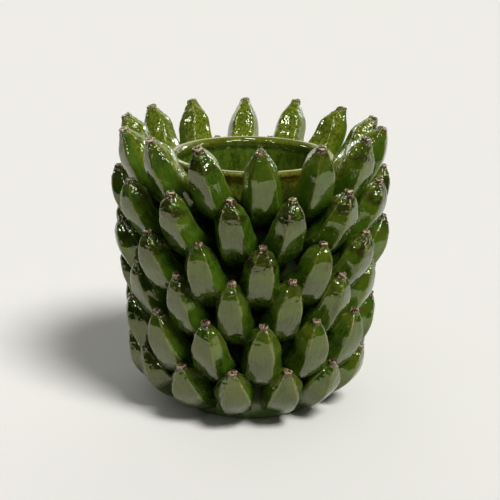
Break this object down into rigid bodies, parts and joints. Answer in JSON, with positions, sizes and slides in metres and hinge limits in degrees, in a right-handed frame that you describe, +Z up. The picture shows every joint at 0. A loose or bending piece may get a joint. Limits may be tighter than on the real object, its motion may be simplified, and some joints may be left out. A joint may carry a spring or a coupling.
{
  "type": "banana vase",
  "caption": "Straight-sided glazed earthenware vase covered outside with staggered rows of upright banana tips, open at the top with a rolled rim.",
  "frame": {"origin": "centre of the foot's underside, on the axis of the pot", "axes": "+Z up along the axis of the pot, -Y towards the side seen in the picture, +X to its right"},
  "size_m": [0.2984, 0.2981, 0.3105],
  "materials": {
    "pot_glaze": "glossy green glaze, pooled dark in the hollows and thin on the rim",
    "banana_glaze": "glossy green glaze over tan clay, thin and pale on the ridges, worn brown at the tips"
  },
  "bodies": {
    "root": {"pot": "pot_glaze", "banana_1_01": "banana_glaze", "banana_1_02": "banana_glaze", "banana_1_03": "banana_glaze", "banana_1_04": "banana_glaze", "banana_1_05": "banana_glaze", "banana_1_06": "banana_glaze", "banana_1_07": "banana_glaze", "banana_1_08": "banana_glaze", "banana_1_09": "banana_glaze", "banana_1_10": "banana_glaze", "banana_1_11": "banana_glaze", "banana_1_12": "banana_glaze", "banana_1_13": "banana_glaze", "banana_1_14": "banana_glaze", "banana_2_01": "banana_glaze", "banana_2_02": "banana_glaze", "banana_2_03": "banana_glaze", "banana_2_04": "banana_glaze", "banana_2_05": "banana_glaze", "banana_2_06": "banana_glaze", "banana_2_07": "banana_glaze", "banana_2_08": "banana_glaze", "banana_2_09": "banana_glaze", "banana_2_10": "banana_glaze", "banana_2_11": "banana_glaze", "banana_2_12": "banana_glaze", "banana_2_13": "banana_glaze", "banana_2_14": "banana_glaze", "banana_3_01": "banana_glaze", "banana_3_02": "banana_glaze", "banana_3_03": "banana_glaze", "banana_3_04": "banana_glaze", "banana_3_05": "banana_glaze", "banana_3_06": "banana_glaze", "banana_3_07": "banana_glaze", "banana_3_08": "banana_glaze", "banana_3_09": "banana_glaze", "banana_3_10": "banana_glaze", "banana_3_11": "banana_glaze", "banana_3_12": "banana_glaze", "banana_3_13": "banana_glaze", "banana_3_14": "banana_glaze", "banana_4_01": "banana_glaze", "banana_4_02": "banana_glaze", "banana_4_03": "banana_glaze", "banana_4_04": "banana_glaze", "banana_4_05": "banana_glaze", "banana_4_06": "banana_glaze", "banana_4_07": "banana_glaze", "banana_4_08": "banana_glaze", "banana_4_09": "banana_glaze", "banana_4_10": "banana_glaze", "banana_4_11": "banana_glaze", "banana_4_12": "banana_glaze", "banana_4_13": "banana_glaze", "banana_4_14": "banana_glaze"}
  },
  "joints": []
}
